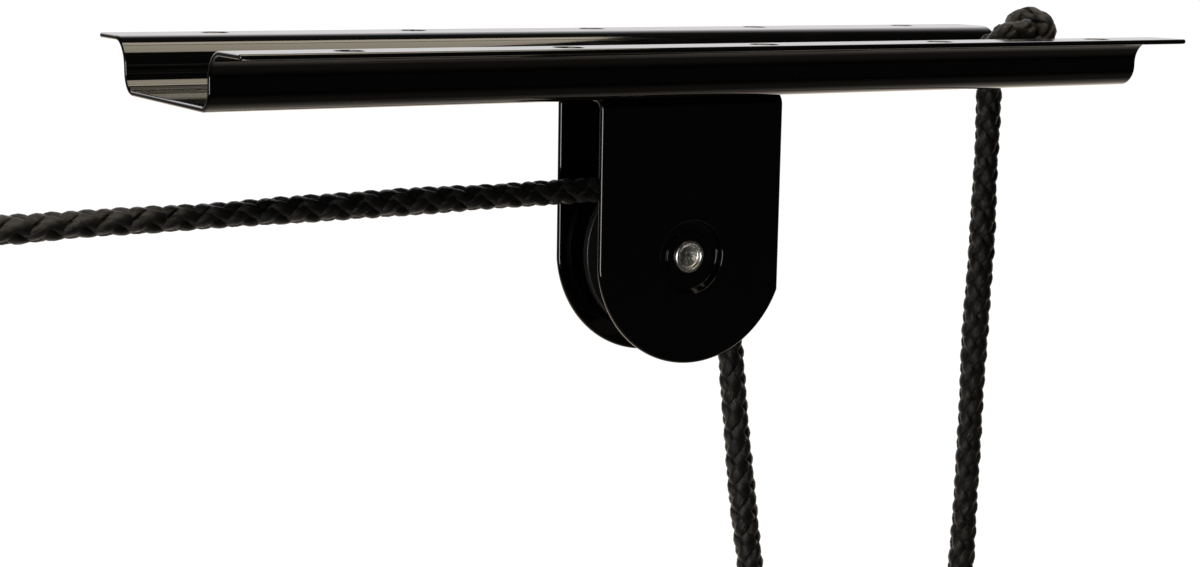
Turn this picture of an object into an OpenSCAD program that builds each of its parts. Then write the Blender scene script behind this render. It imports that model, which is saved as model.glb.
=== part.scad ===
// Ceiling mounted pulley rack: a hat-section ceiling rail with a sheave hung under its middle, a
// braided rope over the sheave, and a hook block in the bight of the rope.
// +X runs along the rail towards the rope's fixed end, +Y is the rear, +Z points at the ceiling.
// The origin is the middle of the screw pattern, on the flanges' top face.

/* [Rail] */
// Distance from one screw hole to the next
hole_pitch = 50; // [48:1:60]
// Distance between the two rows of screw holes
row_spacing = 75.5; // [74:0.5:76.5]
// Diameter of each screw hole
screw_hole_d = 6.5; // [4:0.1:7]
// Width over both flanges
rail_w = 87.5; // [86:0.5:90]
// Outside width of the channel
channel_w = 53.5; // [52:0.5:54]
// Depth from the ceiling to the underside of the rail
channel_d = 12.8; // [12:0.1:16]
// Sheet thickness of the rail
rail_t = 1.2; // [1:0.1:1.5]
// Diameter of the rope hole in the rail
rope_hole_d = 8.6; // [8:0.1:10]

/* [Pulley housing] */
// Width of the housing plates along the rail
housing_w = 50.8; // [46:0.1:52]
// Thickness over both housing plates
housing_t = 21; // [20.8:0.1:24]
// Depth of the sheave axle below the ceiling
axle_depth = 51.7; // [51:0.1:54]
// Sheet thickness of the housing and of the hook block strap
plate_t = 1.8; // [1.5:0.1:1.9]

/* [Sheaves and rope] */
// Outside diameter of both sheaves
sheave_d = 41; // [40:0.5:42]
// Width of both sheaves
sheave_w = 11.6; // [11:0.1:11.8]
// Diameter of the rope
rope_d = 6.4; // [5:0.1:6.6]
// Radius from a sheave's axis to the middle of the rope
pitch_r = 16; // [15.5:0.1:16.2]

/* [Hook block] */
// Distance of the hook block from the middle of the rail
block_x = 75; // [72:1:78]
// Depth of the hook block's axle below the ceiling
block_depth = 320; // [300:5:340]
// Width of the strap
strap_w = 26; // [22:1:30]
// Diameter of the hook's wire
hook_wire_d = 6; // [5:0.5:6]

/* [Hidden] */
$fn = 96;

cut = 1;                      // how far a cutting shape runs past what it cuts
fit = 0.05;                   // radial clearance of pins, bores and shanks
gap = 0.3;                    // clearance beside what turns

// Rail
holes_per_row = 5;
rail_len = holes_per_row * hole_pitch;
rail_bend_r = 5.5;            // under the flange, where it turns down into the wall
web_corner_r = 5;             // outside, where the wall turns into the web
flange_corner_r = 0.8;        // plan view, at the four flange corners
rope_hole_x = 2 * hole_pitch;
web_top_z = rail_t - channel_d;

// Housing and axle
axle_z = -axle_depth;
housing_arc_r = housing_w / 2 + 1.1; // rounds off the foot of the plates
housing_arc_x = 1;
housing_arc_z = axle_z + 0.7;
plate_bend_r = 3.5;           // outside radius of the bends in the housing and the strap
dimple_r = 8.8;               // mouth of the dimple pressed round the axle
dimple_floor_r = 8.2;
dimple_depth = 2;
dimple_wall = 1.4;            // sheet left in the dimple's steep side
dimple_ring_r = dimple_r + 2; // disc of the plate that the dimple is drawn in
boss_r = 6;                   // raised disc on the dimple's floor, under the rivet
boss_h = 0.5;
rivet_x = 15;                 // housing rivets, either side of the middle
rivet_shank_r = 2;
rivet_head_r = 4;
rivet_head_h = 1.2;
rivet_tail_r = 3;
rivet_tail_h = 1.4;

// The axle set is the same in the housing and in the hook block
inner_gap = housing_t - 2 * (dimple_depth + plate_t);
strap_seat_y = inner_gap / 2 + plate_t;
boss_seat_y = strap_seat_y + boss_h;
axle_r = 2.5;
axle_ring_r = 3.9;            // rolled end of the rivet, outside
axle_bowl_r = 2.95;           // rolled end of the rivet, inside
axle_ring_h = 0.8;
axle_hollow_r = 1.9;
axle_hollow_l = 5;
axle_head_r = 4.4;
axle_head_h = 1.4;
bushing_r = 4;
washer_r = 6.6;
washer_t = 0.5;

// Sheave
sheave_r = sheave_d / 2;
groove_r = rope_d / 2 + gap;
groove_mouth = 0.2;           // how much the groove widens by the rim, each side
hub_r = 8.5;
rim_in_r = 14;
pocket_depth = 1.5;

// Rope
rope_r = rope_d / 2;
rope_sides = 12;
lead_leave_deg = 6;           // where the rope leaves the upper sheave, above the horizontal
live_arrive_deg = 191;        // where it meets the block's sheave
dead_leave_deg = 358;         // where it leaves the block's sheave
lead_knot_r = 8.5;
knot_body_r = 9.4;
knot_lobe_r = 6.4;
knot_end_z = -10.8;           // where the fall enters the stopper knot

// Left run, from its end knot to the top of the sheave
lead_run = [
    [-176, 9.4, -38.3], [-160, 8, -38.1], [-145, 6.9, -37.9], [-130, 5.8, -37.6],
    [-115, 4.8, -37.4], [-100, 3.9, -37], [-85, 3, -36.7], [-70, 2.2, -36.4],
    [-55, 1.4, -36.2], [-40, 0.7, -36], [-28, 0.2, -35.8], [-14, 0, -35.7]
];
// Live fall, from the upper sheave to the block
live_run = [
    [17.1, 0, -60], [18.7, 0, -74], [20.4, 0, -89], [22.6, 0, -106], [24.9, 0, -122],
    [27.6, 0, -138], [30.4, 0, -155], [33.6, 0, -173], [37, 0, -192], [40.6, 0, -212],
    [44.2, 0, -233], [47.9, 0, -255], [51.8, 0, -277], [55.5, 0, -299], [58.1, 0, -315]
];
// Dead fall, from the stopper knot to the block
dead_run = [
    [99.7, 0, -24], [99.6, 0, -40], [99.6, 0, -56], [99, 0, -72], [98.6, 0, -88],
    [98.5, 0, -104], [98.3, 0, -120], [98, 0, -136], [97.4, 0, -155], [96.7, 0, -175],
    [95.9, 0, -197], [95, 0, -220], [94, 0, -245], [92.9, 0, -270], [91.8, 0, -298]
];

// Hook block
block_z = -block_depth;
strap_drop = 28;              // from the axle down to the inside of the strap's foot
strap_foot_z = block_z - strap_drop;
hook_r = hook_wire_d / 2;
collar_r = 5;
collar_h = 2.8;
hook_top_z = strap_foot_z + 6.5;
hook_bowl_r = 14;             // middle of the wire
hook_bowl_z = block_z - 68;
hook_open_deg = 140;          // where the neck joins the bowl
hook_tip_deg = 20;            // above the horizontal
hook_neck_r = 12;
hook_neck_deg = 180 - hook_open_deg;
hook_neck_shift = hook_neck_r * (1 - cos(hook_neck_deg));
// Straight stretch between the neck's bend and the bowl
hook_lean = (-hook_bowl_r * cos(hook_open_deg) - hook_neck_shift) / sin(hook_neck_deg);
neck_z = hook_bowl_z + hook_bowl_r * sin(hook_open_deg) + hook_lean * cos(hook_neck_deg)
    + hook_neck_r * sin(hook_neck_deg);
collar_z = strap_foot_z - plate_t - gap - collar_h;
bowl_step_deg = 10;
dome_degs = [30, 55, 75];     // rings of the hook's rounded tip
sleeve_r = hook_r + 1.2;
sleeve_start_deg = 180;
hook_washer_r = 6;
hook_washer_t = 1;
hook_nut_r = 5.6;
hook_nut_h = 4.5;

// ---------- routes ----------

function bowl_route(from_deg) = [for (deg = [from_deg : bowl_step_deg : 360 + hook_tip_deg])
    on_circle(block_x, hook_bowl_z, hook_bowl_r, deg)];
function unit(v) = v / norm(v);
function on_circle(x, z, r, deg) = [x + r * cos(deg), 0, z + r * sin(deg)];
// Tangent of a circle about the Y axis, in the sense in which the angle grows
function circle_dir(deg) = [-sin(deg), 0, cos(deg)];
function route_dir(p, i) = unit(p[min(i + 1, len(p) - 1)] - p[max(i - 1, 0)]);
function route_dirs(p) = [for (i = [0 : len(p) - 1]) route_dir(p, i)];
// The same, with the directions at both ends given
function ended_dirs(p, first, last) = concat([first], [for (i = [1 : len(p) - 2]) route_dir(p, i)], [last]);
function ring_at(middle, t, r) = let(
    u = unit(cross([0, 1, 0], t)),
    v = cross(t, u)
) [for (k = [0 : rope_sides - 1])
    middle + r * (cos(360 * k / rope_sides) * u + sin(360 * k / rope_sides) * v)];
function tube_points(p, dirs, radii) = [for (i = [0 : len(p) - 1]) each ring_at(p[i], dirs[i], radii[i])];
function tube_walls(n) = [for (i = [0 : n - 2]) for (k = [0 : rope_sides - 1])
    let(next = (k + 1) % rope_sides)
    [i * rope_sides + k, (i + 1) * rope_sides + k, (i + 1) * rope_sides + next, i * rope_sides + next]];
function tube_faces(n) = concat(
    tube_walls(n),
    [[for (k = [0 : rope_sides - 1]) k]],
    [[for (k = [rope_sides - 1 : -1 : 0]) (n - 1) * rope_sides + k]]
);

lead_arc = [for (deg = [90 : -12 : lead_leave_deg]) on_circle(0, axle_z, pitch_r, deg)];
lead_route = concat(lead_run, lead_arc);
live_top = on_circle(0, axle_z, pitch_r, lead_leave_deg);
live_foot = on_circle(block_x, block_z, pitch_r, live_arrive_deg);
live_route = concat([live_top], live_run, [live_foot]);
dead_foot = on_circle(block_x, block_z, pitch_r, dead_leave_deg);
dead_route = concat([[rope_hole_x, 0, knot_end_z]], dead_run, [dead_foot]);
neck_route = concat(
    [[block_x, 0, collar_z + cut]],
    [for (deg = [0 : 10 : hook_neck_deg])
        on_circle(block_x - hook_neck_r, neck_z, hook_neck_r, -deg)]
);
bight_steps = 14;
bight_step_deg = (dead_leave_deg - live_arrive_deg) / bight_steps;
bight_route = [for (i = [0 : bight_steps])
    on_circle(block_x, block_z, pitch_r, live_arrive_deg + i * bight_step_deg)];

// Round bar along a route, with its own direction and radius at each point
module bar_tube(route, dirs, radii) {
    polyhedron(points = tube_points(route, dirs, radii), faces = tube_faces(len(route)));
}

// Rope whose cut ends face along the directions given, so that two pieces meet flat
module rope_tube(route, first, last) {
    bar_tube(route, ended_dirs(route, first, last), [for (point = route) rope_r]);
}

// ---------- shared shapes ----------

// Turns a shape that was drawn along Z to lie along Y, with its foot at the rear
module along_y() rotate([90, 0, 0]) children();

// Extrudes a profile drawn in Y and Z along X
module along_x(length) rotate([90, 0, 90]) linear_extrude(length, center = true) children();

// Half outline of the hat section, drawn on the rear side: x is Y, y is Z
module hat_half() {
    wall = channel_w / 2;
    bend_x = wall + rail_bend_r;
    bend_y = -rail_t - rail_bend_r;
    difference() {
        union() {
            translate([0, -channel_d]) square([wall - web_corner_r, channel_d]);
            translate([0, web_corner_r - channel_d]) square([wall, channel_d - web_corner_r]);
            translate([wall - web_corner_r, web_corner_r - channel_d]) circle(web_corner_r);
            translate([0, -rail_t]) square([rail_w / 2, rail_t]);
            translate([wall - cut / 2, bend_y]) square([rail_bend_r + cut / 2, rail_bend_r + rail_t / 2]);
        }
        translate([bend_x, bend_y]) circle(rail_bend_r);
        trough_half(wall - rail_t, web_corner_r - rail_t);
        difference() {
            translate([wall - rail_t - cut, bend_y]) square([rail_bend_r + rail_t + cut, cut - bend_y]);
            translate([bend_x, bend_y]) circle(rail_bend_r + rail_t);
        }
    }
}

// Half outline of the open hollow in the hat section
module trough_half(half_w, corner_r) {
    depth = channel_d - rail_t;
    translate([-cut, -depth]) square([half_w - corner_r + cut, depth + cut]);
    translate([-cut, corner_r - depth]) square([half_w + cut, depth - corner_r + cut]);
    translate([half_w - corner_r, corner_r - depth]) circle(corner_r);
}

// What is cut away to round one flange corner, with the corner at the origin
module flange_corner(r) {
    difference() {
        translate([-r, -r, -rail_t - cut]) cube([r + cut, r + cut, rail_t + 2 * cut]);
        translate([-r, -r, -rail_t - 2 * cut]) cylinder(r = r, h = rail_t + 4 * cut);
    }
}

// A U of sheet metal: the foot lies on y = 0, the legs reach up, and x runs across the legs
module u_profile(across, tall) {
    inner_r = plate_bend_r - plate_t;
    difference() {
        u_outline(across, tall, plate_bend_r);
        translate([0, plate_t]) u_outline(across - 2 * plate_t, tall, inner_r);
    }
}

module u_outline(across, tall, corner_r) {
    translate([corner_r - across / 2, 0]) square([across - 2 * corner_r, tall]);
    translate([-across / 2, corner_r]) square([across, tall - corner_r]);
    for (side = [-1, 1])
        translate([side * (across / 2 - corner_r), corner_r]) circle(corner_r);
}

// Grooved wheel with a hub and a side pocket, on the Y axis
module sheave_body() {
    half_w = sheave_w / 2;
    along_y() rotate_extrude() difference() {
        translate([bushing_r + fit, -half_w]) square([sheave_r - bushing_r - fit, sheave_w]);
        translate([pitch_r, 0]) circle(groove_r);
        polygon([
            [pitch_r, groove_r], [sheave_r + cut, groove_r + groove_mouth],
            [sheave_r + cut, -groove_r - groove_mouth], [pitch_r, -groove_r]
        ]);
        for (side = [-1, 1])
            translate([hub_r, side * half_w - pocket_depth])
                square([rim_in_r - hub_r, 2 * pocket_depth]);
    }
}

// Sleeve that spaces the plates and carries the sheave
module bushing_body() {
    along_y() difference() {
        cylinder(r = bushing_r, h = inner_gap, center = true);
        cylinder(r = axle_r + fit, h = inner_gap + 2 * cut, center = true);
    }
}

// Thrust washer on the bushing; side is -1 at the front and 1 at the rear
module washer_body(side) {
    mid_y = side * (sheave_w / 2 + gap + washer_t / 2);
    translate([0, mid_y, 0]) along_y() difference() {
        cylinder(r = washer_r, h = washer_t, center = true);
        cylinder(r = bushing_r + fit, h = washer_t + 2 * cut, center = true);
    }
}

// Semi-tubular rivet: domed head at the rear, rolled open end at the front
module rivet_body(seat_y) {
    dome_r = (axle_head_r * axle_head_r + axle_head_h * axle_head_h) / (2 * axle_head_h);
    front = seat_y + axle_ring_h;
    along_y() {
        difference() {
            union() {
                translate([0, 0, -seat_y]) cylinder(r = axle_r, h = seat_y + front);
                translate([0, 0, seat_y]) cylinder(r = axle_ring_r, h = axle_ring_h);
            }
            translate([0, 0, front - axle_hollow_l]) cylinder(r = axle_hollow_r, h = axle_hollow_l + cut);
            translate([0, 0, front - axle_ring_h])
                cylinder(r1 = axle_hollow_r, r2 = axle_bowl_r, h = axle_ring_h);
        }
        intersection() {
            translate([0, 0, dome_r - seat_y - axle_head_h]) sphere(dome_r);
            translate([0, 0, -seat_y - axle_head_h]) cylinder(r = axle_head_r, h = axle_head_h);
        }
    }
}

// Moves a piece of an axle set to its own axle
module at_axle() translate([0, 0, axle_z]) children();
module at_block() translate([block_x, 0, block_z]) children();

// ---------- rail and housing ----------

module ceiling_rail() {
    color("black") difference() {
        along_x(rail_len) {
            hat_half();
            mirror([1, 0]) hat_half();
        }
        for (i = [0 : holes_per_row - 1]) for (side = [-1, 1])
            translate([(i - (holes_per_row - 1) / 2) * hole_pitch, side * row_spacing / 2, -rail_t - cut])
                cylinder(d = screw_hole_d, h = rail_t + 2 * cut);
        for (mx = [0, 1]) for (my = [0, 1]) mirror([mx, 0, 0]) mirror([0, my, 0])
            translate([rail_len / 2, rail_w / 2, 0]) flange_corner(flange_corner_r);
        translate([rope_hole_x, 0, -channel_d - cut]) cylinder(d = rope_hole_d, h = rail_t + 2 * cut);
        for (side = [-1, 1])
            translate([side * rivet_x, 0, -channel_d - cut])
                cylinder(r = rivet_shank_r + fit, h = rail_t + 2 * cut);
    }
}

// Side view of the housing plates: straight sides, then an arc that lies a little towards +X
module housing_outline() {
    translate([-housing_w / 2, housing_arc_z]) square([housing_w, -channel_d - housing_arc_z]);
    intersection() {
        translate([housing_arc_x, housing_arc_z]) circle(housing_arc_r);
        translate([-housing_w / 2, housing_arc_z - housing_w]) square([housing_w, housing_w]);
    }
}

// Half section of the dimple: x is the radius, y is the depth in from the plate's outer face
module dimple_section() {
    polygon([
        [axle_r + fit, dimple_depth - boss_h], [boss_r, dimple_depth - boss_h], [boss_r, dimple_depth],
        [dimple_floor_r, dimple_depth], [dimple_r, 0], [dimple_ring_r, 0], [dimple_ring_r, plate_t],
        [dimple_r + dimple_wall, plate_t], [dimple_floor_r + dimple_wall, dimple_depth + plate_t],
        [axle_r + fit, dimple_depth + plate_t]
    ]);
}

module pulley_housing() {
    legs = housing_arc_r - housing_arc_z - channel_d;
    color("black") {
        difference() {
            intersection() {
                translate([0, 0, -channel_d]) mirror([0, 0, 1])
                    along_x(housing_w) u_profile(housing_t, legs + cut);
                along_y() linear_extrude(housing_t + 2 * cut, center = true) housing_outline();
            }
            at_axle() along_y() cylinder(r = dimple_ring_r, h = housing_t + 2 * cut, center = true);
            for (side = [-1, 1])
                translate([side * rivet_x, 0, -channel_d - plate_t - cut])
                    cylinder(r = rivet_shank_r + fit, h = plate_t + 2 * cut);
        }
        for (turn = [0, 180]) at_axle() rotate([0, 0, turn])
            translate([0, housing_t / 2, 0]) along_y() rotate_extrude() dimple_section();
    }
}

module housing_rivets() {
    joint_z = -channel_d - plate_t;
    dome_r = (rivet_head_r * rivet_head_r + rivet_head_h * rivet_head_h) / (2 * rivet_head_h);
    color("dimgray") for (side = [-1, 1]) translate([side * rivet_x, 0, 0]) {
        translate([0, 0, joint_z]) cylinder(r = rivet_shank_r, h = web_top_z - joint_z);
        intersection() {
            translate([0, 0, web_top_z + rivet_head_h - dome_r]) sphere(dome_r);
            translate([0, 0, web_top_z]) cylinder(r = rivet_head_r, h = rivet_head_h);
        }
        translate([0, 0, joint_z - rivet_tail_h]) cylinder(r = rivet_tail_r, h = rivet_tail_h);
    }
}

module axle_rivet() { color("silver") at_axle() rivet_body(boss_seat_y); }
module axle_bushing() { color("gray") at_axle() bushing_body(); }
module axle_washer_front() { color("ivory") at_axle() washer_body(-1); }
module axle_washer_rear() { color("ivory") at_axle() washer_body(1); }
module sheave() { color("dimgray") at_axle() sheave_body(); }

// ---------- rope ----------

module rope_lead() {
    color("darkslategray") rope_tube(lead_route, route_dir(lead_run, 0), -circle_dir(lead_leave_deg));
}

module rope_fall_live() {
    color("darkslategray") rope_tube(live_route, -circle_dir(lead_leave_deg), circle_dir(live_arrive_deg));
}

module rope_fall_dead() {
    color("darkslategray") rope_tube(dead_route, [0, 0, -1], -circle_dir(dead_leave_deg));
}

module rope_bight() {
    color("darkslategray") rope_tube(bight_route, circle_dir(live_arrive_deg), circle_dir(dead_leave_deg));
}

module lead_end_knot() {
    end = lead_run[0];
    color("darkslategray") translate(end - [lead_knot_r - cut, 0, 0]) sphere(lead_knot_r);
}

// Knot that lies in the channel and stops the rope at its hole
module stopper_knot() {
    floor_z = web_top_z + gap;
    color("darkslategray") {
        translate([rope_hole_x, 0, knot_end_z]) cylinder(r = rope_r, h = knot_lobe_r);
        translate([rope_hole_x + 2, 0, floor_z + knot_lobe_r + 2]) sphere(knot_lobe_r);
        translate([rope_hole_x + 13, 0, floor_z + knot_body_r]) sphere(knot_body_r);
    }
}

// ---------- hook block ----------

module strap_outline() {
    circle(strap_w / 2);
    translate([-strap_w / 2, -strap_drop - plate_t]) square([strap_w, strap_drop + plate_t]);
}

module block_strap() {
    across = inner_gap + 2 * plate_t;
    tall = strap_w / 2 + strap_drop + plate_t;
    color("black") at_block() difference() {
        intersection() {
            translate([0, 0, -strap_drop - plate_t]) along_x(strap_w) u_profile(across, tall + cut);
            along_y() linear_extrude(across + 2 * cut, center = true) strap_outline();
        }
        along_y() cylinder(r = axle_r + fit, h = across + 2 * cut, center = true);
        translate([0, 0, -strap_drop - plate_t - cut]) cylinder(r = hook_r + fit, h = plate_t + 2 * cut);
    }
}

module block_sheave() { color("dimgray") at_block() sheave_body(); }
module block_rivet() { color("silver") at_block() rivet_body(strap_seat_y); }
module block_bushing() { color("gray") at_block() bushing_body(); }
module block_washer_front() { color("ivory") at_block() washer_body(-1); }
module block_washer_rear() { color("ivory") at_block() washer_body(1); }

// Bent bar that ends in a dome past the hook's tip
module hook_bar(route, bar_r) {
    tip = route[len(route) - 1];
    tip_dir = [-sin(hook_tip_deg), 0, cos(hook_tip_deg)];
    dome = [for (deg = dome_degs) tip + bar_r * sin(deg) * tip_dir];
    path = concat(route, dome);
    radii = concat([for (point = route) bar_r], [for (deg = dome_degs) bar_r * cos(deg)]);
    bar_tube(path, route_dirs(path), radii);
}

module swivel_hook() {
    color("silver") {
        translate([block_x, 0, collar_z]) cylinder(r = hook_r, h = hook_top_z - collar_z);
        translate([block_x, 0, collar_z]) cylinder(r = collar_r, h = collar_h);
        hook_bar(concat(neck_route, bowl_route(hook_open_deg)), hook_r);
    }
}

module hook_sleeve() {
    color("black") difference() {
        hook_bar(bowl_route(sleeve_start_deg), sleeve_r);
        hook_bar(bowl_route(sleeve_start_deg - bowl_step_deg), hook_r);
    }
}

module hook_washer() {
    color("silver") translate([block_x, 0, strap_foot_z + gap]) difference() {
        cylinder(r = hook_washer_r, h = hook_washer_t);
        translate([0, 0, -cut]) cylinder(r = hook_r + fit, h = hook_washer_t + 2 * cut);
    }
}

module hook_nut() {
    color("silver") translate([block_x, 0, strap_foot_z + gap + hook_washer_t]) difference() {
        cylinder(r = hook_nut_r, h = hook_nut_h, $fn = 6);
        translate([0, 0, -cut]) cylinder(r = hook_r + fit, h = hook_nut_h + 2 * cut);
    }
}

ceiling_rail();
pulley_housing();
housing_rivets();
axle_rivet();
axle_bushing();
axle_washer_front();
axle_washer_rear();
sheave();
rope_lead();
lead_end_knot();
rope_fall_live();
rope_fall_dead();
stopper_knot();
rope_bight();
block_strap();
block_sheave();
block_rivet();
block_bushing();
block_washer_front();
block_washer_rear();
swivel_hook();
hook_washer();
hook_nut();
hook_sleeve();
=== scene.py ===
"""Ceiling mounted pulley rack: hat-section rail, pulley housing, braided rope and hook block.

Metres, in the CAD frame: +X along the rail towards the rope's fixed end, +Y to the rear, +Z up.
"""

import math

import bpy
import numpy as np
from mathutils import Matrix, Vector


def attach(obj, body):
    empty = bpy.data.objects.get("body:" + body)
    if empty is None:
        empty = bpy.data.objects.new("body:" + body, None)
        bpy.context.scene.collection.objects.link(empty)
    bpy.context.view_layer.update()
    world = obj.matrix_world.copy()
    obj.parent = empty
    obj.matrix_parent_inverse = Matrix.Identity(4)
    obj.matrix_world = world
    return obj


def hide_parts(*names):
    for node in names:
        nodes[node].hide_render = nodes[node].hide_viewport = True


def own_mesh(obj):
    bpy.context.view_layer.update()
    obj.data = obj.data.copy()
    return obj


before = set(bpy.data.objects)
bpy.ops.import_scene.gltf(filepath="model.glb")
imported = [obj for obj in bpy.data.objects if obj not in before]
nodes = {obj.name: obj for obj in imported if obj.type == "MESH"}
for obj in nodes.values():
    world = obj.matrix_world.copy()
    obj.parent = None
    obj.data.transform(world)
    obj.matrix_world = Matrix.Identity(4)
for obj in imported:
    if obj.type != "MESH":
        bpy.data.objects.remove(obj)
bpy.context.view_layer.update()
scene = bpy.context.scene
scene.view_settings.view_transform = "Standard"

MM = 0.001
TURN = 2 * math.pi

# ---------- camera ----------

CAMERA_PLACE = (-0.26196, -0.40585, 0.02270)
CAMERA_YAW, CAMERA_PITCH, CAMERA_ROLL = (math.radians(a) for a in (30.902, -9.715, 0.941))
CAMERA_LENS, SENSOR_WIDTH = 60.587, 36.0

camera = bpy.data.objects.new("camera", bpy.data.cameras.new("camera"))
camera.data.lens = CAMERA_LENS
camera.data.sensor_fit = "HORIZONTAL"
camera.data.sensor_width = SENSOR_WIDTH
camera.data.clip_start = 0.01
camera.data.clip_end = 100
camera.matrix_world = (
    Matrix.Translation(CAMERA_PLACE)
    @ Matrix.Rotation(-CAMERA_YAW, 4, "Z")
    @ Matrix.Rotation(math.pi / 2 + CAMERA_PITCH, 4, "X")
    @ Matrix.Rotation(CAMERA_ROLL, 4, "Z")
)
scene.collection.objects.link(camera)
scene.camera = camera

# ---------- the rope's middle line: the CAD route, with a real knot at each end ----------

PITCH_R = 16 * MM
AXLE_Z = -51.7 * MM
BLOCK_X, BLOCK_Z = 75 * MM, -320 * MM
LEAD_LEAVE, LIVE_ARRIVE, DEAD_LEAVE = 6, 191, 358   # degrees round the sheaves, from +X towards +Z
LEAD_ARC_STEP = 12
BIGHT_STEPS = 14

LEAD_RUN = [
    (-176, 9.4, -38.3), (-160, 8, -38.1), (-145, 6.9, -37.9), (-130, 5.8, -37.6),
    (-115, 4.8, -37.4), (-100, 3.9, -37), (-85, 3, -36.7), (-70, 2.2, -36.4),
    (-55, 1.4, -36.2), (-40, 0.7, -36), (-28, 0.2, -35.8), (-14, 0, -35.7),
]
LIVE_RUN = [
    (17.1, 0, -60), (18.7, 0, -74), (20.4, 0, -89), (22.6, 0, -106), (24.9, 0, -122),
    (27.6, 0, -138), (30.4, 0, -155), (33.6, 0, -173), (37, 0, -192), (40.6, 0, -212),
    (44.2, 0, -233), (47.9, 0, -255), (51.8, 0, -277), (55.5, 0, -299), (58.1, 0, -315),
]
DEAD_RUN = [
    (99.7, 0, -24), (99.6, 0, -40), (99.6, 0, -56), (99, 0, -72), (98.6, 0, -88),
    (98.5, 0, -104), (98.3, 0, -120), (98, 0, -136), (97.4, 0, -155), (96.7, 0, -175),
    (95.9, 0, -197), (95, 0, -220), (94, 0, -245), (92.9, 0, -270), (91.8, 0, -298),
]
DEAD_TOP = (100, 0, -10.8)
# From the hole up and to the right into the knot, and the tail's way out behind it
STOPPER_IN = [(99.9, -0.9, -6.4), (99.6, -2, -2.6), (101.2, -2.9, -0.2)]
STOPPER_OUT = [(103, 4.4, -3.4), (101.4, 4.6, -1.4)]
STOPPER_CENTRE = (111, 0, -2.2)
END_KNOT_OUT = [(-180.4, 13.4, -40.8), (-176.4, 15, -42.2), (-171.8, 15.6, -43.4)]
END_KNOT_CENTRE = (-187, 10.2, -38.4)

KNOT_OPENS_AT = math.pi / 3       # where on the closed curve both ends leave
KNOT_OPENING = 0.06               # share of the curve left out on either side of that
KNOT_STEPS = 40
KNOT_SCALE, KNOT_HEIGHT, KNOT_SQUAT = 2.3 * MM, 3.1 * MM, 0.93
END_KNOT_TURN, STOPPER_TURN = -30, 150

RING_STEP = 0.85 * MM
SPLINE_FINENESS = 8               # first samples of the spline for each ring


def in_metres(points):
    return [np.array(p, float) * MM for p in points]


def on_circle(x, z, radius, degrees):
    angle = math.radians(degrees)
    return np.array([x + radius * math.cos(angle), 0, z + radius * math.sin(angle)])


def overhand(centre, turn):
    """An overhand knot's middle line in the XZ plane. Its open side faces left at a turn of 150 degrees."""
    points = []
    for i in range(KNOT_STEPS + 1):
        t = KNOT_OPENS_AT + TURN * (KNOT_OPENING + (1 - 2 * KNOT_OPENING) * i / KNOT_STEPS)
        x = KNOT_SCALE * (math.sin(t) + 2 * math.sin(2 * t))
        z = KNOT_SCALE * (math.cos(t) - 2 * math.cos(2 * t))
        c, s = math.cos(math.radians(turn)), math.sin(math.radians(turn))
        offset = (x * c - z * s, -KNOT_HEIGHT * math.sin(3 * t), (x * s + z * c) * KNOT_SQUAT)
        points.append(np.array(centre) * MM + np.array(offset))
    return points


def spline(points, step):
    """Points a step apart along the natural cubic spline through the points."""
    p = np.array(points)
    n = len(p)
    t = np.concatenate([[0], np.cumsum(np.linalg.norm(np.diff(p, axis=0), axis=1))])
    h = np.diff(t)
    rows, right = np.eye(n), np.zeros((n, 3))
    for i in range(1, n - 1):
        rows[i, i - 1 : i + 2] = h[i - 1], 2 * (h[i - 1] + h[i]), h[i]
        right[i] = 6 * ((p[i + 1] - p[i]) / h[i] - (p[i] - p[i - 1]) / h[i - 1])
    bend = np.linalg.solve(rows, right)
    fine = np.linspace(0, t[-1], int(t[-1] / step * SPLINE_FINENESS))
    k = np.clip(np.searchsorted(t, fine, side="right") - 1, 0, n - 2)
    a, b = (t[k + 1] - fine)[:, None], (fine - t[k])[:, None]
    w = h[k][:, None]
    curve = (
        bend[k] * a**3 / (6 * w) + bend[k + 1] * b**3 / (6 * w)
        + (p[k] / w - bend[k] * w / 6) * a + (p[k + 1] / w - bend[k + 1] * w / 6) * b
    )
    s = np.concatenate([[0], np.cumsum(np.linalg.norm(np.diff(curve, axis=0), axis=1))])
    even = np.linspace(0, s[-1], int(round(s[-1] / step)) + 1)
    return np.stack([np.interp(even, s, curve[:, i]) for i in range(3)], axis=1)


lead_run, live_run, dead_run = map(in_metres, (LEAD_RUN, LIVE_RUN, DEAD_RUN))
lead_arc = [on_circle(0, AXLE_Z, PITCH_R, a) for a in range(90, LEAD_LEAVE - 1, -LEAD_ARC_STEP)]
bight = [
    on_circle(BLOCK_X, BLOCK_Z, PITCH_R, LIVE_ARRIVE + (DEAD_LEAVE - LIVE_ARRIVE) * i / BIGHT_STEPS)
    for i in range(BIGHT_STEPS + 1)
]
dead_top = np.array(DEAD_TOP) * MM
rope_line = spline(
    in_metres(END_KNOT_OUT[::-1]) + overhand(END_KNOT_CENTRE, END_KNOT_TURN) + lead_run + lead_arc
    + live_run + bight + dead_run[::-1] + [dead_top] + in_metres(STOPPER_IN)
    + overhand(STOPPER_CENTRE, STOPPER_TURN)[::-1] + in_metres(STOPPER_OUT),
    RING_STEP,
)


def ring_near(point):
    return int(np.argmin(np.linalg.norm(rope_line - point, axis=1)))


def frames_along(line):
    """Tangents and two cross directions that don't twist along the line."""
    tangent = np.gradient(line, axis=0)
    tangent /= np.linalg.norm(tangent, axis=1)[:, None]
    side = np.zeros_like(line)
    side[0] = np.cross(tangent[0], (0, 0, 1))
    side[0] /= np.linalg.norm(side[0])
    for i in range(1, len(line)):
        v = side[i - 1] - tangent[i] * np.dot(side[i - 1], tangent[i])
        side[i] = v / np.linalg.norm(v)
    return tangent, side, np.cross(tangent, side)


# ---------- braid: eight strands, four each way round ----------

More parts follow.
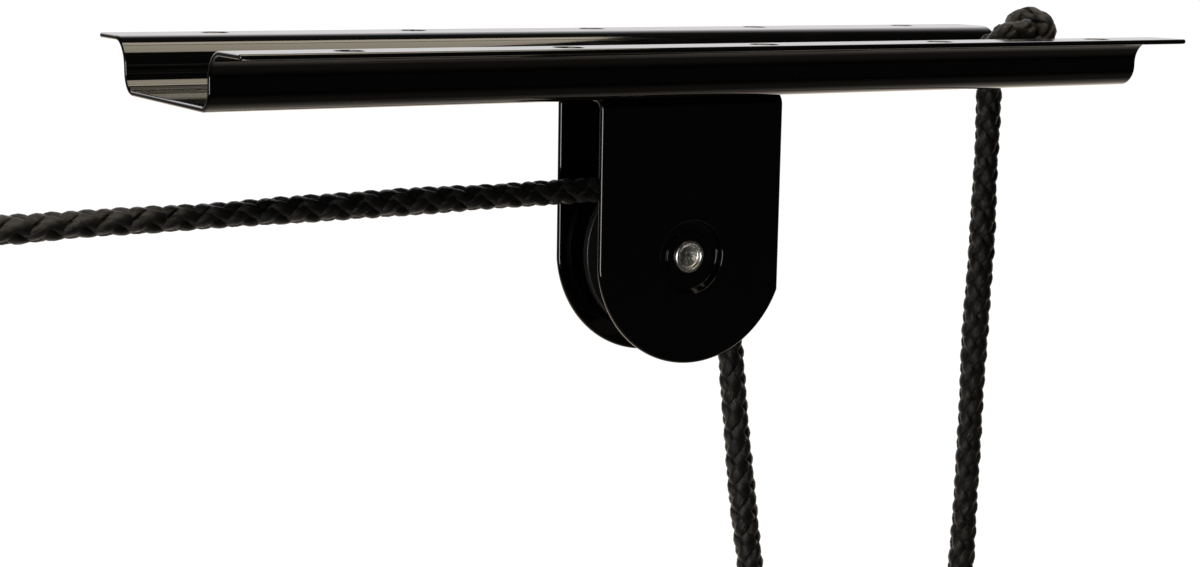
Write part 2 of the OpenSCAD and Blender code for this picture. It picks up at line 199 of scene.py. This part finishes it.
BRAID_LEAD = 28 * MM              # length of one turn of a strand
STRAND_PATH_R = 1.86 * MM         # mean distance of a strand from the rope's middle
STRAND_WEAVE = 0.46 * MM          # how far it rises over and dips under the others
STRAND_HALF_W = 1.5 * MM
STRAND_HALF_T = 0.98 * MM
STRAND_SIDES = 16
STRANDS_EACH_WAY = 4
PLIES = 4                         # ridges across a strand
PLY_RELIEF = 0.05
PLY_TWIST = 26 * MM
CORE_R = 1.5 * MM
CORE_SIDES = 10
UV_SHIFT_BY_STRAND, UV_SHIFT_BY_WAY = 0.37, 0.11   # so that no two strands show the same filaments
MELTED_END = 2.6 * MM             # the rope's cut ends are melted round

tangent, side, other = frames_along(rope_line)
ring_s = np.arange(len(rope_line)) * RING_STEP

# The rings at which one stretch of the rope ends and the next begins
rope_start, rope_end = 0, len(rope_line) - 1
knot_off, sheave_off, block_on, block_off, hole = map(
    ring_near, (lead_run[0], lead_arc[-1], bight[0], bight[-1], dead_top)
)

# Thickness as a share of the nominal one
KNOTTED, ON_BLOCK = 0.9, 0.98
PULLED, AT_SHEAVE = 0.94, 0.97    # the two ends of the left run
SLACK = 1.06                      # the live fall
FALL_FOOT, FALL_TOP = 1.1, 1.08   # the dead fall
LONG_SWELL, LONG_SWELL_EVERY = 0.045, 84 * MM
SHORT_SWELL, SHORT_SWELL_EVERY = 0.02, 31 * MM


def thickness():
    """The rope's thickness at each ring: thin where pulled, fuller in the falls, squeezed in the knots."""
    s = ring_s
    knot_s, sheave_s, on_s, off_s, hole_s = s[[knot_off, sheave_off, block_on, block_off, hole]]
    marks = [
        (0, KNOTTED), (knot_s - 4 * MM, KNOTTED), (knot_s + 8 * MM, PULLED),
        (sheave_s - 12 * MM, AT_SHEAVE), (sheave_s + 30 * MM, SLACK), (on_s - 30 * MM, SLACK),
        (on_s, ON_BLOCK), (off_s, ON_BLOCK), (off_s + 30 * MM, FALL_FOOT),
        (hole_s - 6 * MM, FALL_TOP), (hole_s + 4 * MM, KNOTTED), (s[-1], KNOTTED),
    ]
    even = np.interp(s, [place for place, _ in marks], [share for _, share in marks])
    swell = (
        LONG_SWELL * np.sin(TURN * (s - hole_s) / LONG_SWELL_EVERY - 0.2)
        + SHORT_SWELL * np.sin(TURN * s / SHORT_SWELL_EVERY)
    )
    off_knots = np.interp(s, [knot_s, knot_s + 20 * MM, hole_s - 10 * MM, hole_s], [0, 1, 1, 0])
    off_block = np.interp(s, [on_s - 20 * MM, on_s, off_s, off_s + 20 * MM], [1, 0, 0, 1])
    from_end = np.minimum(s, s[-1] - s)
    melted = np.sqrt(1 - np.clip(1 - from_end / MELTED_END, 0, 0.97) ** 2)
    return (even + swell * off_knots * off_block) * melted


size = thickness()


def strand_points(first, last, way, index):
    """Rings of one strand between two of the rope's rings, and how far along the strand each one is.

    way is 1 or -1, the sense in which the strand winds.
    """
    part = slice(first, last + 1)
    turn = TURN * ring_s / BRAID_LEAD
    angle = way * turn + index * TURN / STRANDS_EACH_WAY
    radius = (STRAND_PATH_R + way * STRAND_WEAVE * np.cos(STRANDS_EACH_WAY * turn)) * size
    outward = np.cos(angle)[:, None] * side + np.sin(angle)[:, None] * other
    middle = rope_line + outward * radius[:, None]
    along = np.gradient(middle, axis=0)
    along /= np.linalg.norm(along, axis=1)[:, None]
    up = outward - along * np.sum(outward * along, axis=1)[:, None]
    up /= np.linalg.norm(up, axis=1)[:, None]
    across = np.cross(along, up)
    rings = []
    for k in range(STRAND_SIDES):
        a = TURN * k / STRAND_SIDES
        ply = 1 + PLY_RELIEF * np.cos(PLIES * a + way * TURN * ring_s / PLY_TWIST + index)
        wide = (STRAND_HALF_W * math.cos(a) * size * ply)[:, None]
        thick = (STRAND_HALF_T * math.sin(a) * size * ply)[:, None]
        rings.append(middle + across * wide + up * thick)
    steps = np.linalg.norm(np.diff(middle[part], axis=0), axis=1)
    return np.stack(rings, axis=1)[part], np.concatenate([[0], np.cumsum(steps)])


def tube(points, along, sides, base):
    """Faces and UVs of a capped tube whose rings are points[i, k]."""
    rings = len(points)
    quads, uvs = [], []
    for i in range(rings - 1):
        for k in range(sides):
            n = (k + 1) % sides
            quads.append((base + i * sides + k, base + i * sides + n,
                          base + (i + 1) * sides + n, base + (i + 1) * sides + k))
            u0, u1 = k / sides, (k + 1) / sides
            uvs += [(u0, along[i]), (u1, along[i]), (u1, along[i + 1]), (u0, along[i + 1])]
    caps = [
        tuple(base + k for k in range(sides))[::-1],
        tuple(base + (rings - 1) * sides + k for k in range(sides)),
    ]
    for row in (0, rings - 1):
        uvs += [(k / sides, along[row]) for k in range(sides)]
    return quads + caps, uvs


def new_object(name, points, faces, uvs=None, smooth=True):
    mesh = bpy.data.meshes.new(name)
    mesh.from_pydata([tuple(p) for p in points], [], faces)
    if uvs is not None:
        layer = mesh.uv_layers.new(name="strand")
        layer.data.foreach_set("uv", np.array(uvs, np.float32).ravel())
    mesh.polygons.foreach_set("use_smooth", [smooth] * len(mesh.polygons))
    mesh.update()
    made = bpy.data.objects.new(name, mesh)
    scene.collection.objects.link(made)
    return made


def braid(name, first, last):
    """The braided rope between two rings: eight strands round a core."""
    points, faces, uvs = [], [], []
    total = 0
    for way in (1, -1):
        for index in range(STRANDS_EACH_WAY):
            rings, along = strand_points(first, last, way, index)
            shift = UV_SHIFT_BY_STRAND * index + UV_SHIFT_BY_WAY * way
            f, uv = tube(rings, along + shift, STRAND_SIDES, total)
            points.append(rings.reshape(-1, 3))
            faces += f
            uvs += uv
            total += len(points[-1])
    a = np.arange(CORE_SIDES) * TURN / CORE_SIDES
    r = (CORE_R * size[first : last + 1])[:, None, None]
    ring = (
        side[first : last + 1, None] * np.cos(a)[None, :, None]
        + other[first : last + 1, None] * np.sin(a)[None, :, None]
    )
    core = rope_line[first : last + 1, None] + ring * r
    f, uv = tube(core, ring_s[first : last + 1], CORE_SIDES, total)
    points.append(core.reshape(-1, 3))
    return new_object(name, np.concatenate(points), faces + f, uvs + uv)


end_knot = braid("end_knot", rope_start, knot_off)
lead = braid("lead_rope", knot_off, sheave_off)
live_fall = braid("live_fall_rope", sheave_off, block_on)
bight_rope = braid("bight_rope", block_on, block_off)
dead_fall = braid("dead_fall_rope", block_off, hole)
stopper = braid("stopper_knot_rope", hole, rope_end)

ROPE_PIECES = {
    end_knot: ("root", "lead_end_knot"),
    lead: ("root", "rope_lead"),
    live_fall: ("root", "rope_fall_live"),
    bight_rope: ("hook_block", "rope_bight"),
    dead_fall: ("root", "rope_fall_dead"),
    stopper: ("root", "stopper_knot"),
}
for piece, (body, node) in ROPE_PIECES.items():
    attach(piece, body)
    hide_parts(node)


def shorten(piece):
    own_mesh(piece)


shorten(live_fall)
shorten(dead_fall)


# ---------- semi-tubular rivets: domed head at the rear, rolled end with a hollow in front ----------

RIVET_SEGMENTS = 96
SHANK_R = 2.5 * MM
HEAD_R, HEAD_H = 4.4 * MM, 1.4 * MM
ROLL_MIDDLE_R, ROLL_R = 3.42 * MM, 0.48 * MM
ROLL_H = 0.8 * MM
HOLLOW_R, HOLLOW_DEPTH = 1.7 * MM, 1.5 * MM
CRUMPLE = 0.16 * MM
AXLE_SEAT, BLOCK_SEAT = 9 * MM, 8.5 * MM   # from the middle of each axle out to where its rivet bears


def rivet_profile(seat):
    """Radius and distance in front of the axle's middle, from the head's pole to the hollow's middle."""
    dome = [
        (HEAD_R * math.sin(a), -seat - HEAD_H * math.cos(a))
        for a in (math.radians(d) for d in (2, 15, 30, 45, 60, 75, 87))
    ]
    crest = seat + ROLL_H
    roll = [
        (ROLL_MIDDLE_R + ROLL_R * math.cos(a), crest - ROLL_R + ROLL_R * math.sin(a))
        for a in (math.radians(d) for d in range(-20, 201, 20))
    ]
    bowl = [
        (HOLLOW_R + 0.75 * MM, crest - 0.95 * MM), (HOLLOW_R + 0.25 * MM, crest - 1.25 * MM),
        (HOLLOW_R, crest - HOLLOW_DEPTH), (HOLLOW_R / 2, crest - HOLLOW_DEPTH - 0.2 * MM),
        (0.05 * MM, crest - HOLLOW_DEPTH),
    ]
    shank = [
        (HEAD_R - 0.2 * MM, -seat), (SHANK_R, -seat), (SHANK_R, seat), (ROLL_MIDDLE_R + 0.3 * MM, seat)
    ]
    return dome + shank + roll + bowl, len(dome + shank + roll) - 1


def rivet(name, axle, seat, body, node):
    """A rivet about the Y axis through axle, which clamps what lies within seat of its middle."""
    profile, hollow_from = rivet_profile(seat)
    points, faces = [], []
    for i, (radius, front) in enumerate(profile):
        inside = max(0, min(1, (i - hollow_from) / 3))
        for k in range(RIVET_SEGMENTS):
            a = TURN * k / RIVET_SEGMENTS
            wave = math.sin(3 * a + 2 * i) + 0.7 * math.sin(5 * a - 3 * i) + 0.5 * math.sin(11 * a + i)
            r = radius * (1 + 0.05 * inside * math.sin(4 * a + i))
            depth = front + CRUMPLE * inside * wave
            points.append((axle[0] + r * math.sin(a), -depth, axle[1] + r * math.cos(a)))
    for i in range(len(profile) - 1):
        for k in range(RIVET_SEGMENTS):
            n = (k + 1) % RIVET_SEGMENTS
            a, b = i * RIVET_SEGMENTS, (i + 1) * RIVET_SEGMENTS
            faces.append((a + k, b + k, b + n, a + n))
    last = (len(profile) - 1) * RIVET_SEGMENTS
    faces.append(tuple(range(RIVET_SEGMENTS)))
    faces.append(tuple(last + k for k in range(RIVET_SEGMENTS))[::-1])
    made = new_object(name, points, faces)
    # The hollow's faces take the second material, a zinc darkened as painted shade.
    for face in made.data.polygons:
        if face.index // RIVET_SEGMENTS >= hollow_from and face.index < len(faces) - 2:
            face.material_index = 1
    made.data.polygons[len(faces) - 1].material_index = 1
    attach(made, body)
    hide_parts(node)
    return made


rivets = [
    rivet("axle_rivet_rolled", (0, AXLE_Z), AXLE_SEAT, "root", "axle_rivet"),
    rivet("block_rivet_rolled", (BLOCK_X, BLOCK_Z), BLOCK_SEAT, "hook_block", "block_rivet"),
]

# ---------- materials ----------


def material(name, base, roughness, **constants):
    """A Principled material with its constant values set on the shader's own sockets."""
    made = bpy.data.materials.new(name)
    made.use_nodes = True
    shader = made.node_tree.nodes["Principled BSDF"]
    shader.inputs["Base Color"].default_value = (*base, 1)
    shader.inputs["Roughness"].default_value = roughness
    for key, value in constants.items():
        shader.inputs[key.replace("_", " ")].default_value = value
    return made, made.node_tree, shader


def noise(tree, vector, scale, detail=3.0, roughness=0.5):
    node = tree.nodes.new("ShaderNodeTexNoise")
    node.inputs["Scale"].default_value = scale
    node.inputs["Detail"].default_value = detail
    node.inputs["Roughness"].default_value = roughness
    tree.links.new(vector, node.inputs["Vector"])
    return node.outputs["Fac"]


def place(tree, scale=(1, 1, 1), uv=False):
    """Object coordinates, or the strand's own UVs, stretched by scale."""
    mapping = tree.nodes.new("ShaderNodeMapping")
    mapping.inputs["Scale"].default_value = scale
    if uv:
        source = tree.nodes.new("ShaderNodeUVMap")
        source.uv_map = "strand"
        tree.links.new(source.outputs["UV"], mapping.inputs["Vector"])
    else:
        source = tree.nodes.new("ShaderNodeTexCoord")
        tree.links.new(source.outputs["Object"], mapping.inputs["Vector"])
    return mapping.outputs["Vector"]


def ramp(tree, value, low, high, from_value, to_value):
    """value, mapped from low..high to from_value..to_value and clamped."""
    node = tree.nodes.new("ShaderNodeMapRange")
    for key, number in zip(
        ("From Min", "From Max", "To Min", "To Max"), (low, high, from_value, to_value)
    ):
        node.inputs[key].default_value = number
    tree.links.new(value, node.inputs["Value"])
    return node.outputs["Result"]


def blend_colours(tree, value, dark, light):
    node = tree.nodes.new("ShaderNodeMix")
    node.data_type = "RGBA"
    node.inputs["A"].default_value = (*dark, 1)
    node.inputs["B"].default_value = (*light, 1)
    tree.links.new(value, node.inputs["Factor"])
    return node.outputs["Result"]


def bump(tree, height, distance, normal=None):
    node = tree.nodes.new("ShaderNodeBump")
    node.inputs["Strength"].default_value = 1
    node.inputs["Distance"].default_value = distance
    tree.links.new(height, node.inputs["Height"])
    if normal is not None:
        tree.links.new(normal, node.inputs["Normal"])
    return node.outputs["Normal"]


def enamel(name):
    """Black stoving enamel: a glossy skin with a little orange peel, fine scuffs and settled dust."""
    black, grey = (0.001, 0.0009, 0.0009), (0.03, 0.028, 0.026)
    made, tree, shader = material(name, black, 0.1, IOR=1.5)
    links = tree.links
    peel = noise(tree, place(tree), 520, 2.0)
    sag = noise(tree, place(tree), 60, 2.0)
    scuff = noise(tree, place(tree, (90, 1600, 1600)), 1, 3.0)
    dust = noise(tree, place(tree), 2600, 1.0, 0.4)
    specks = ramp(tree, dust, 0.79, 0.83, 0, 1)
    links.new(blend_colours(tree, specks, black, grey), shader.inputs["Base Color"])
    links.new(ramp(tree, scuff, 0.35, 0.75, 0.04, 0.12), shader.inputs["Roughness"])
    first = bump(tree, sag, 0.005 * MM)
    links.new(bump(tree, peel, 0.0008 * MM, first), shader.inputs["Normal"])
    return made


def rope_fibre(name):
    """Charcoal multifilament yarn: fine lengthwise filaments, uneven tone and a soft sheen."""
    dark, light = (0.001, 0.0009, 0.0008), (0.0065, 0.0059, 0.0053)
    made, tree, shader = material(
        name, light, 0.36, Sheen_Weight=0.04, Sheen_Roughness=0.4, IOR=1.35
    )
    shader.inputs["Sheen Tint"].default_value = (0.9, 0.88, 0.86, 1)
    links = tree.links
    filaments = noise(tree, place(tree, (26, 240, 1), uv=True), 1, 3.0, 0.6)
    fine = noise(tree, place(tree, (70, 700, 1), uv=True), 1, 2.0, 0.6)
    patches = noise(tree, place(tree), 240, 3.0)
    tone = blend_colours(tree, ramp(tree, filaments, 0.3, 0.7, 0, 1), dark, light)
    links.new(tone, shader.inputs["Base Color"])
    links.new(ramp(tree, patches, 0.3, 0.7, 0.3, 0.46), shader.inputs["Roughness"])
    first = bump(tree, filaments, 0.24 * MM)
    links.new(bump(tree, fine, 0.09 * MM, first), shader.inputs["Normal"])
    return made


def metal(name, base, roughness, grain, relief):
    """A bare or plated metal with fine grain and duller worn patches."""
    made, tree, shader = material(name, base, roughness, Metallic=1.0)
    links = tree.links
    flakes = noise(tree, place(tree), grain, 3.0, 0.6)
    wear = noise(tree, place(tree), grain / 4, 3.0)
    dull = tuple(c * 0.72 for c in base)
    tone = blend_colours(tree, ramp(tree, wear, 0.35, 0.65, 0, 1), dull, base)
    links.new(tone, shader.inputs["Base Color"])
    links.new(ramp(tree, flakes, 0.3, 0.7, roughness * 0.7, roughness * 1.35),
              shader.inputs["Roughness"])
    links.new(bump(tree, flakes, relief), shader.inputs["Normal"])
    return made


def plastic(name, base, roughness, grain, relief):
    """A moulded plastic with a fine grain and slightly cloudy colour."""
    made, tree, shader = material(name, base, roughness)
    links = tree.links
    fine = noise(tree, place(tree), grain, 3.0, 0.6)
    cloud = noise(tree, place(tree), grain / 9, 2.0)
    light = tuple(min(1, c * 1.35 + 0.001) for c in base)
    tone = blend_colours(tree, ramp(tree, cloud, 0.3, 0.7, 0, 1), base, light)
    links.new(tone, shader.inputs["Base Color"])
    links.new(ramp(tree, fine, 0.3, 0.7, roughness * 0.85, roughness * 1.2),
              shader.inputs["Roughness"])
    links.new(bump(tree, fine, relief), shader.inputs["Normal"])
    return made


rail_paint = enamel("rail_enamel")
housing_paint = enamel("housing_enamel")
rope_yarn = rope_fibre("rope_yarn")
zinc = metal("bright_zinc", (0.98, 0.97, 0.93), 0.3, 1500, 0.02 * MM)
# The rivets' hollows get a darker zinc. The darkness is painted shade in the recess; the crumple and the
# duller roughness are real.
shaded_hollow_zinc = metal("crumpled_zinc_painted_shade", (0.34, 0.335, 0.3), 0.5, 1700, 0.08 * MM)
hook_zinc = metal("hook_zinc", (0.76, 0.75, 0.72), 0.3, 900, 0.02 * MM)
steel = metal("turned_steel", (0.5, 0.49, 0.47), 0.3, 1400, 0.01 * MM)
nylon = plastic("washer_nylon", (0.72, 0.69, 0.6), 0.45, 1500, 0.01 * MM)
acetal = plastic("sheave_acetal", (0.006, 0.0058, 0.0056), 0.34, 1600, 0.01 * MM)
vinyl = plastic("hook_vinyl", (0.008, 0.0078, 0.0076), 0.5, 1400, 0.02 * MM)

for piece in ROPE_PIECES:
    piece.data.materials.append(rope_yarn)
for piece in rivets:
    piece.data.materials.append(zinc)
    piece.data.materials.append(shaded_hollow_zinc)

NODE_MATERIALS = {
    rail_paint: ["ceiling_rail"],
    housing_paint: ["pulley_housing", "block_strap"],
    zinc: ["housing_rivets"],
    steel: ["axle_bushing", "block_bushing"],
    nylon: ["axle_washer_front", "axle_washer_rear", "block_washer_front", "block_washer_rear"],
    acetal: ["sheave", "block_sheave"],
    hook_zinc: ["swivel_hook", "hook_washer", "hook_nut"],
    vinyl: ["hook_sleeve"],
}
for made, names in NODE_MATERIALS.items():
    for name in names:
        node = nodes[name]
        if not node.material_slots:
            node.data.materials.append(made)
        for slot in node.material_slots:
            slot.material = made

# ---------- edges: flat faces are joined up, so that they shade as one, then edges are rounded ----------

# Millimetres. The cut edges of the sheet are tumbled nearly round.
EDGE_ROUNDING = {
    "ceiling_rail": 0.52, "pulley_housing": 0.8, "block_strap": 0.8, "sheave": 0.3,
    "block_sheave": 0.3, "housing_rivets": 0.2, "axle_washer_front": 0.1,
    "axle_washer_rear": 0.1, "block_washer_front": 0.1, "block_washer_rear": 0.1,
    "hook_washer": 0.15, "hook_nut": 0.3, "axle_bushing": 0.2, "block_bushing": 0.2,
}
SHEET_METAL = ("ceiling_rail", "pulley_housing", "block_strap")
ROUNDED_FROM = math.radians(28)
DIMPLE_REACH = 11 * MM            # the dimple's edges are sharper than the plates' own
DIMPLE_SHARE = 0.28
SAME_SPOT = 0.005 * MM            # vertices closer than about this count as one
WELD_REACH = 0.004 * MM
FLAT_WITHIN = math.radians(0.4)
ROUNDING_SEGMENTS = 4
SHADING_WEIGHT = 90


def weigh_edges(node):
    """Marks how much of the rounding each edge gets.

    The CAD's faces don't share vertices, so edges are matched by their place.
    """
    mesh = node.data
    spots = [tuple(round(c / SAME_SPOT) for c in v.co) for v in mesh.vertices]
    beside = {}
    for face in mesh.polygons:
        for a, b in face.edge_keys:
            beside.setdefault(frozenset((spots[a], spots[b])), []).append(face.normal)
    weights = []
    for edge in mesh.edges:
        a, b = edge.vertices
        normals = beside.get(frozenset((spots[a], spots[b])), [])
        turns = [normals[0].angle(other, 0) for other in normals[1:]]
        middle = node.matrix_world @ ((mesh.vertices[a].co + mesh.vertices[b].co) / 2)
        in_dimple = math.hypot(middle.x, middle.z - AXLE_Z) < DIMPLE_REACH
        share = DIMPLE_SHARE if in_dimple and node.name == "pulley_housing" else 1
        weights.append(share if max(turns, default=0) > ROUNDED_FROM else 0)
    layer = mesh.attributes.new("bevel_weight_edge", "FLOAT", "EDGE")
    layer.data.foreach_set("value", weights)


for name, width in EDGE_ROUNDING.items():
    node = nodes[name]
    weigh_edges(node)
    node.modifiers.new("joined", "WELD").merge_threshold = WELD_REACH
    flat = node.modifiers.new("flat_faces", "DECIMATE")
    flat.decimate_type = "DISSOLVE"
    flat.angle_limit = FLAT_WITHIN
    bevel = node.modifiers.new("rounding", "BEVEL")
    bevel.width = width * MM
    bevel.segments = ROUNDING_SEGMENTS
    bevel.limit_method = "WEIGHT"
    bevel.use_clamp_overlap = name not in SHEET_METAL
    even = node.modifiers.new("even_shading", "WEIGHTED_NORMAL")
    even.mode = "FACE_AREA"
    even.weight = SHADING_WEIGHT
    node.data.polygons.foreach_set("use_smooth", [True] * len(node.data.polygons))

# ---------- floor, lights and surroundings ----------

FLOOR_Z, FLOOR_FRONT, FLOOR_BACK, FLOOR_SIDE = -0.45, -0.9, 30.0, 20.0
floor = new_object(
    "floor",
    [(-FLOOR_SIDE, FLOOR_FRONT, FLOOR_Z), (FLOOR_SIDE, FLOOR_FRONT, FLOOR_Z),
     (FLOOR_SIDE, FLOOR_BACK, FLOOR_Z), (-FLOOR_SIDE, FLOOR_BACK, FLOOR_Z)],
    [(0, 1, 2, 3)], smooth=False,
)


def maths(tree, operation, a, b):
    node = tree.nodes.new("ShaderNodeMath")
    node.operation = operation
    for i, value in enumerate((a, b)):
        if isinstance(value, (int, float)):
            node.inputs[i].default_value = value
        else:
            tree.links.new(value, node.inputs[i])
    return node.outputs["Value"]


def xyz(tree, vector):
    node = tree.nodes.new("ShaderNodeSeparateXYZ")
    tree.links.new(vector, node.inputs["Vector"])
    return node.outputs["X"], node.outputs["Y"], node.outputs["Z"]


def shade(tree, kind, colour, strength):
    """An emission or background shader, whose strength is a number or comes from a socket."""
    node = tree.nodes.new(kind)
    node.inputs["Color"].default_value = (*colour, 1)
    if isinstance(strength, (int, float)):
        node.inputs["Strength"].default_value = strength
    else:
        tree.links.new(strength, node.inputs["Strength"])
    return node.outputs[0]


def mixed(tree, factor, a, b):
    node = tree.nodes.new("ShaderNodeMixShader")
    for socket, value in zip(node.inputs, (factor, a, b)):
        tree.links.new(value, socket)
    return node.outputs["Shader"]


# The floor looks white. It lights the object as a card does that gets brighter to the rear and right.
# Its underside is clear, so that the object can be looked at from below.
WHITE = 1.05
pale = bpy.data.materials.new("pale_floor")
pale.use_nodes = True
tree = pale.node_tree
tree.nodes.clear()
geometry = tree.nodes.new("ShaderNodeNewGeometry")
rays = tree.nodes.new("ShaderNodeLightPath")
across, depth, _ = xyz(tree, geometry.outputs["Position"])
under = ramp(tree, depth, -0.62, -0.3, 0.01, 0.09)
beyond = ramp(tree, depth, -0.12, 0.5, 0, 1.4)
from_left = ramp(tree, across, -0.7, 0, 0.06, 1)
lit = maths(tree, "MULTIPLY", maths(tree, "ADD", under, beyond), from_left)
card = shade(tree, "ShaderNodeEmission", (1.0, 0.88, 0.76), lit)
seen = shade(tree, "ShaderNodeEmission", (1, 1, 1), WHITE)
upper = mixed(tree, rays.outputs["Is Camera Ray"], card, seen)
clear = tree.nodes.new("ShaderNodeBsdfTransparent").outputs["BSDF"]
surface = tree.nodes.new("ShaderNodeOutputMaterial")
tree.links.new(mixed(tree, geometry.outputs["Backfacing"], upper, clear), surface.inputs["Surface"])
floor.data.materials.append(pale)

# White to the eye. The object sees a bright wall behind it, which ends overhead and to the left,
# a weaker glow low on the left, and a dim room elsewhere.
DIM_ROOM = 0.022
world = bpy.data.worlds.new("studio")
scene.world = world
world.use_nodes = True
tree = world.node_tree
tree.nodes.clear()
coordinates = tree.nodes.new("ShaderNodeTexCoord")
rays = tree.nodes.new("ShaderNodeLightPath")
right, back, up = xyz(tree, coordinates.outputs["Generated"])
brighter_up, dark_overhead = ramp(tree, up, 0.1, 0.36, 0.85, 2.1), ramp(tree, up, 0.5, 0.76, 1, 0.01)
wall = maths(tree, "MULTIPLY", brighter_up, dark_overhead)
wall = maths(tree, "MULTIPLY", wall, ramp(tree, back, 0, 0.35, 0, 1))
wall = maths(tree, "MULTIPLY", wall, ramp(tree, right, -0.35, -0.1, 0, 1))
glow = maths(tree, "MULTIPLY", ramp(tree, right, -0.85, -0.6, 0.5, 0), ramp(tree, up, 0.1, 0.5, 1, 0))
level = maths(tree, "ADD", maths(tree, "ADD", wall, glow), DIM_ROOM)
room = shade(tree, "ShaderNodeBackground", (1, 0.97, 0.985), level)
seen = shade(tree, "ShaderNodeBackground", (1, 1, 1), WHITE)
sky = tree.nodes.new("ShaderNodeOutputWorld")
tree.links.new(mixed(tree, rays.outputs["Is Camera Ray"], room, seen), sky.inputs["Surface"])


def softbox(name, centre, aim, width, height, power, colour):
    """A rectangular lamp that the camera doesn't see."""
    lamp = bpy.data.lights.new(name, "AREA")
    lamp.shape = "RECTANGLE"
    lamp.size, lamp.size_y = width, height
    lamp.energy = power
    lamp.color = colour
    made = bpy.data.objects.new(name, lamp)
    scene.collection.objects.link(made)
    made.location = centre
    made.rotation_euler = (Vector(aim) - Vector(centre)).to_track_quat("-Z", "Y").to_euler()
    made.visible_camera = False


WARM = (1.0, 0.89, 0.7)
softbox("overhead", (-0.15, -0.44, 1.0), (-0.15, -0.44, 0), 1.5, 0.66, 16, WARM)
softbox("overhead_rear", (-0.15, 0.03, 1.0), (-0.15, 0.03, 0), 1.5, 0.2, 5.5, WARM)
softbox("left", (-1.0, -0.6, -0.15), (0, 0, -0.03), 0.35, 0.8, 9, (1, 0.98, 0.95))
